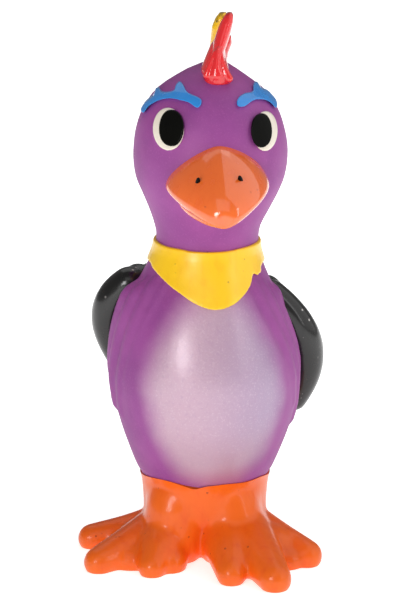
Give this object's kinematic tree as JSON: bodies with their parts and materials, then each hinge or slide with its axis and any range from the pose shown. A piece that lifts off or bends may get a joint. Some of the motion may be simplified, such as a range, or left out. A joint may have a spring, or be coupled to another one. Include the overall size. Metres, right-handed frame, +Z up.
{
  "type": "squeaky latex bird figure",
  "caption": "Standing hollow latex bird with a squeaker in its sole, a pressable belly, a bending neck and a soft comb.",
  "frame": {"origin": "middle of the flat sole, on the surface that the figure stands on", "axes": "+Z up the figure's axis, -Y the way that the figure faces, +X to the right seen from the front"},
  "size_m": [0.0679, 0.0662, 0.15],
  "materials": {
    "purple_latex": "matte dyed latex, fine grain",
    "pearl_latex": "satin pearl airbrushed over purple latex",
    "orange_coat": "thick glossy brushed latex coat",
    "yellow_coat": "thick glossy brushed latex coat",
    "black_coat": "glossy black latex coat",
    "cream_coat": "glossy cream latex coat",
    "blue_coat": "glossy blue latex coat",
    "red_coat": "glossy red latex coat",
    "fleece": "loose white polyester fibre",
    "squeaker_plastic": "natural moulded polyethylene",
    "reed_brass": "thin rolled strip"
  },
  "bodies": {
    "torso": {"torso_skin": "purple_latex", "leg_skirt": "orange_coat", "left_foot": "orange_coat", "right_foot": "orange_coat", "left_wing": "black_coat", "right_wing": "black_coat", "collar": "yellow_coat", "body_filling": "fleece", "squeaker_housing": "squeaker_plastic", "squeaker_cap": "squeaker_plastic", "reed_block": "squeaker_plastic", "reed_clamp": "squeaker_plastic"},
    "belly": {"belly_wall": "pearl_latex"},
    "reed": {"squeaker_reed": "reed_brass"},
    "neck": {"neck_skin": "purple_latex"},
    "head": {"head_skin": "purple_latex", "head_filling": "fleece", "beak_upper": "orange_coat", "beak_lower": "orange_coat", "nostrils": "black_coat", "left_eye_white": "cream_coat", "right_eye_white": "cream_coat", "left_pupil": "black_coat", "right_pupil": "black_coat", "left_eyebrow": "blue_coat", "right_eyebrow": "blue_coat"},
    "comb": {"comb_front": "red_coat", "comb_middle": "yellow_coat", "comb_rear": "red_coat"}
  },
  "joints": [
    {"name": "belly_press", "type": "slide", "parent": "torso", "child": "belly", "axis": [0, 1, 0], "range_m": [0, 0.005], "stiffness_N_per_m": 800},
    {"name": "reed_flutter", "type": "hinge", "parent": "torso", "child": "reed", "pos_m": [0, -0.00072, 0.0031], "axis": [1, 0, 0], "range_deg": [-4, 8], "stiffness_Nm_per_rad": 0.001},
    {"name": "neck_sway", "type": "hinge", "parent": "torso", "child": "neck", "pos_m": [0.0003, 0, 0.0905], "axis": [0, 1, 0], "range_deg": [-12, 12], "stiffness_Nm_per_rad": 0.4},
    {"name": "head_nod", "type": "hinge", "parent": "neck", "child": "head", "pos_m": [0.0003, 0, 0.0905], "axis": [1, 0, 0], "range_deg": [-15, 15], "stiffness_Nm_per_rad": 0.4},
    {"name": "comb_flick", "type": "hinge", "parent": "head", "child": "comb", "pos_m": [0.0025, 0, 0.1345], "axis": [0, 1, 0], "range_deg": [-15, 15], "stiffness_Nm_per_rad": 0.01}
  ]
}
